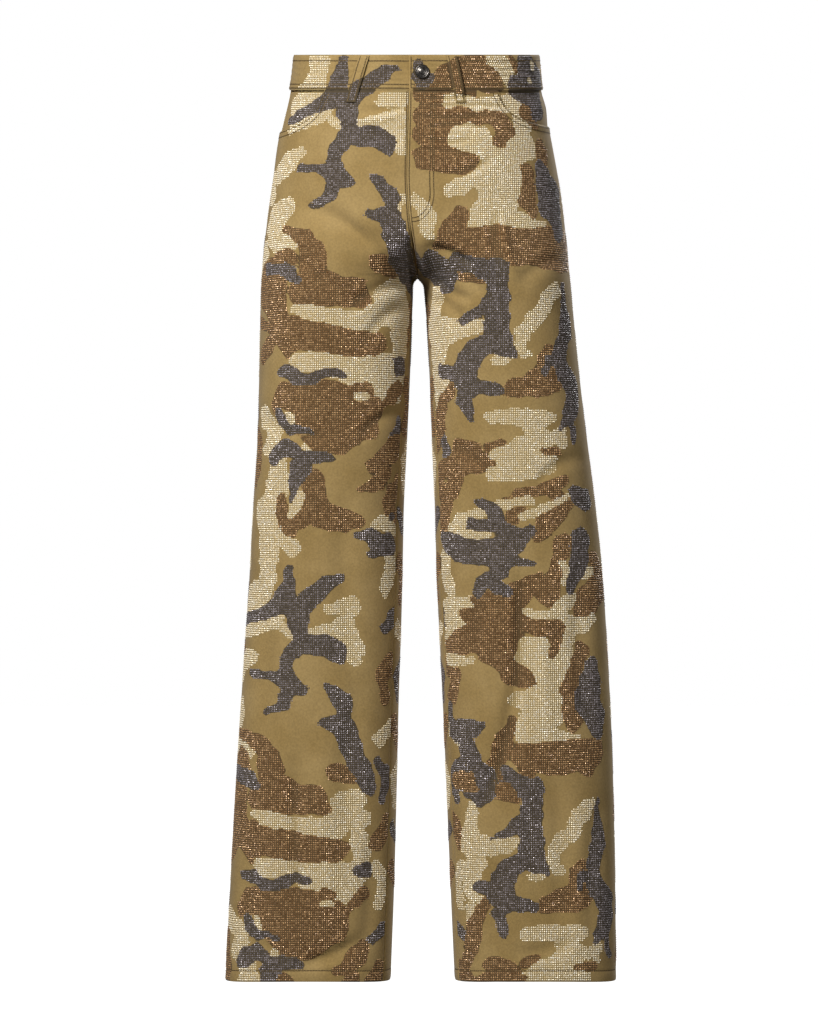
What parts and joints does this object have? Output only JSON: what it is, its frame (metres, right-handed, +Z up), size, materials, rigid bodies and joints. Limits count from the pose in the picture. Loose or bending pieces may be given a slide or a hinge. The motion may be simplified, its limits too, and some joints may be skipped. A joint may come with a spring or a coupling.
{
  "type": "wide-leg camo jeans",
  "caption": "High-waisted wide-leg jeans, worn form, open at waist and hems, with scoop pockets, back yoke, patch pockets, belt loops and a waist button.",
  "frame": {"origin": "centre of the waist opening", "axes": "+Z up along the legs towards the waist, +X towards the wearer's left, -Y out of the front"},
  "size_m": [0.4645, 0.2453, 1.112],
  "materials": {
    "cloth": "khaki-olive cotton twill with heat-fixed rhinestones in a camouflage pattern",
    "button_metal": "gunmetal, turned"
  },
  "bodies": {
    "root": {"front_left": "cloth", "front_right": "cloth", "back_left": "cloth", "back_right": "cloth", "yoke_left": "cloth", "yoke_right": "cloth", "pocket_facing_left": "cloth", "pocket_facing_right": "cloth", "back_pocket_left": "cloth", "back_pocket_right": "cloth", "waistband": "cloth", "belt_loop_front_right": "cloth", "belt_loop_front_left": "cloth", "belt_loop_side_right": "cloth", "belt_loop_side_left": "cloth", "belt_loop_back": "cloth", "button": "button_metal"}
  },
  "joints": []
}
